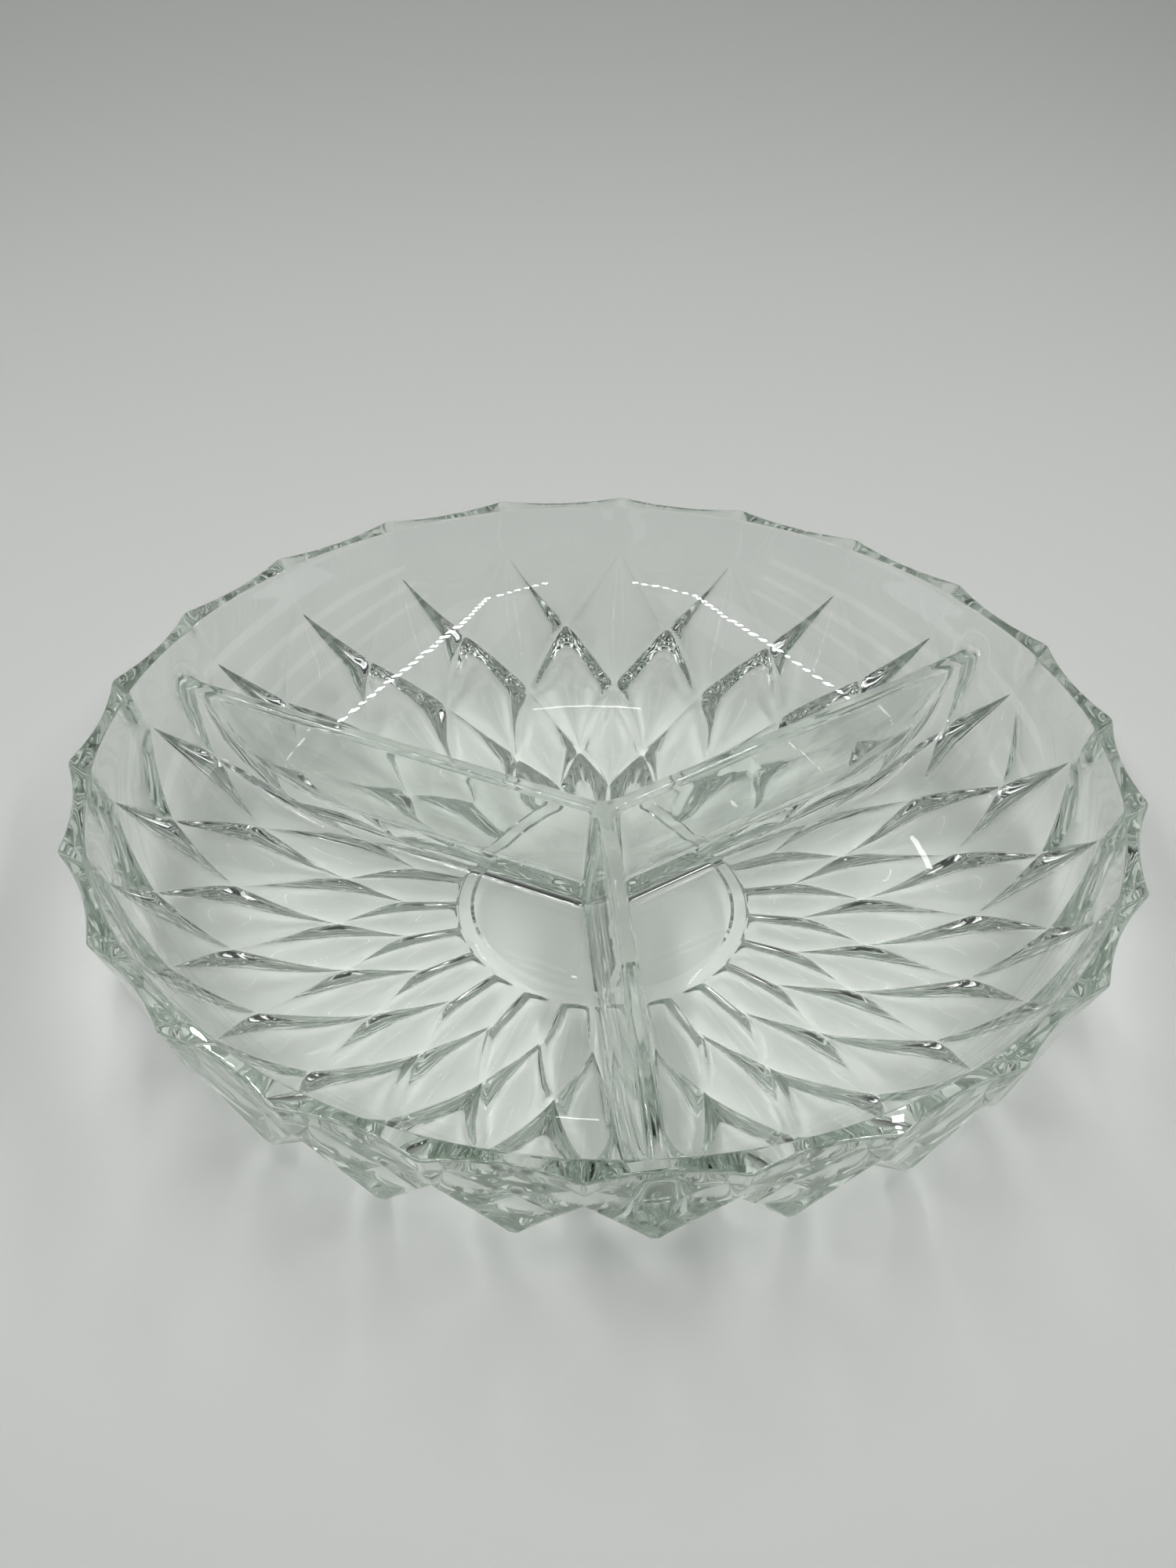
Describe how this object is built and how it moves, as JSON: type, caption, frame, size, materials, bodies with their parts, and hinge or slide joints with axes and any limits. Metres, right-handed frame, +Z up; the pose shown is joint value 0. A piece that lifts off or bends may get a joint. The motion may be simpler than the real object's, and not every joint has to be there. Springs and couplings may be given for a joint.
{
  "type": "relish tray",
  "caption": "Round divided dish of clear pressed glass with a pointed rim, lozenge-cut outside and smooth compartments, for serving relishes.",
  "frame": {"origin": "centre of the dish on the surface it stands on", "axes": "+Z up along the axis of the dish, -Y along the front divider"},
  "size_m": [0.2142, 0.2142, 0.0387],
  "materials": {
    "clear_glass": "gloss"
  },
  "bodies": {
    "root": {"side_wall": "clear_glass", "floor_ring": "clear_glass", "base_disc": "clear_glass", "divider_hub": "clear_glass", "front_divider": "clear_glass", "right_divider": "clear_glass", "left_divider": "clear_glass"}
  },
  "joints": []
}
